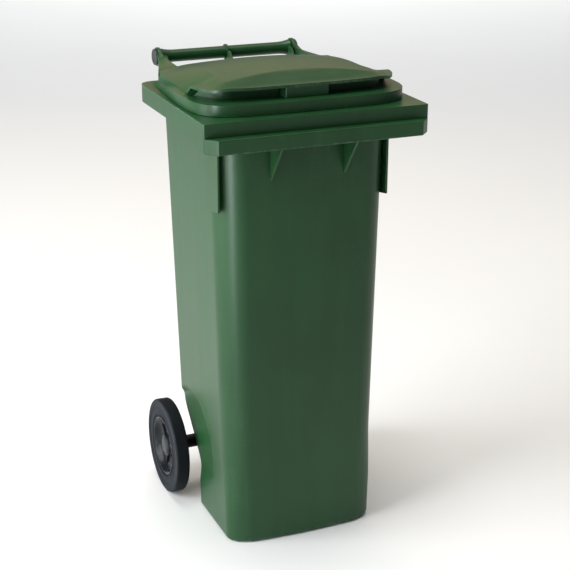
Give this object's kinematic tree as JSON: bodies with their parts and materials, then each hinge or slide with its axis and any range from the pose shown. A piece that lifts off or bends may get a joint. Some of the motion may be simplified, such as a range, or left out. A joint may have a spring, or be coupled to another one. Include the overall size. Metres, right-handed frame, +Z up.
{
  "type": "wheelie bin",
  "caption": "Tall tapered plastic refuse bin on wheels, with a hinged domed lid, a rear handle bar and a front lip for a lifting comb.",
  "frame": {"origin": "on the ground, in the middle of the overall box", "axes": "+Z up, +X to the right seen from the front, +Y towards the handle and wheels"},
  "size_m": [0.44, 0.516, 0.938],
  "materials": {
    "body_plastic": "moulded dark green polyethylene, satin sheen, fine scuffs",
    "lid_plastic": "moulded dark green polyethylene, satin sheen",
    "tyre_rubber": "solid black rubber, dusty sidewall",
    "hub_plastic": "black moulded polypropylene, half gloss",
    "cap_plastic": "dark grey snap-in cap",
    "pin_plastic": "dark grey moulded plug",
    "black_plastic": "black moulded plastic",
    "axle_steel": "round steel bar, black coated",
    "washer_steel": "zinc plated steel"
  },
  "bodies": {
    "container": {"body": "body_plastic", "axle": "axle_steel", "hinge_pin_left": "pin_plastic", "hinge_pin_right": "pin_plastic", "spacer_sleeve_left": "black_plastic", "spacer_sleeve_right": "black_plastic", "inner_washer_left": "washer_steel", "inner_washer_right": "washer_steel", "outer_washer_left": "washer_steel", "outer_washer_right": "washer_steel", "retaining_clip_left": "washer_steel", "retaining_clip_right": "washer_steel"},
    "lid": {"lid": "lid_plastic"},
    "wheel_left": {"tyre_left": "tyre_rubber", "wheel_hub_left": "hub_plastic", "hub_bush_left": "black_plastic", "hub_cap_left": "cap_plastic"},
    "wheel_right": {"tyre_right": "tyre_rubber", "wheel_hub_right": "hub_plastic", "hub_bush_right": "black_plastic", "hub_cap_right": "cap_plastic"}
  },
  "joints": [
    {"name": "lid_hinge", "type": "hinge", "parent": "container", "child": "lid", "pos_m": [0, 0.24, 0.904], "axis": [-1, 0, 0], "range_deg": [0, 270]},
    {"name": "wheel_spin_left", "type": "hinge", "parent": "container", "child": "wheel_left", "pos_m": [-0.19, 0.102, 0.1], "axis": [1, 0, 0], "continuous": true},
    {"name": "wheel_spin_right", "type": "hinge", "parent": "container", "child": "wheel_right", "pos_m": [0.19, 0.102, 0.1], "axis": [1, 0, 0], "continuous": true}
  ]
}
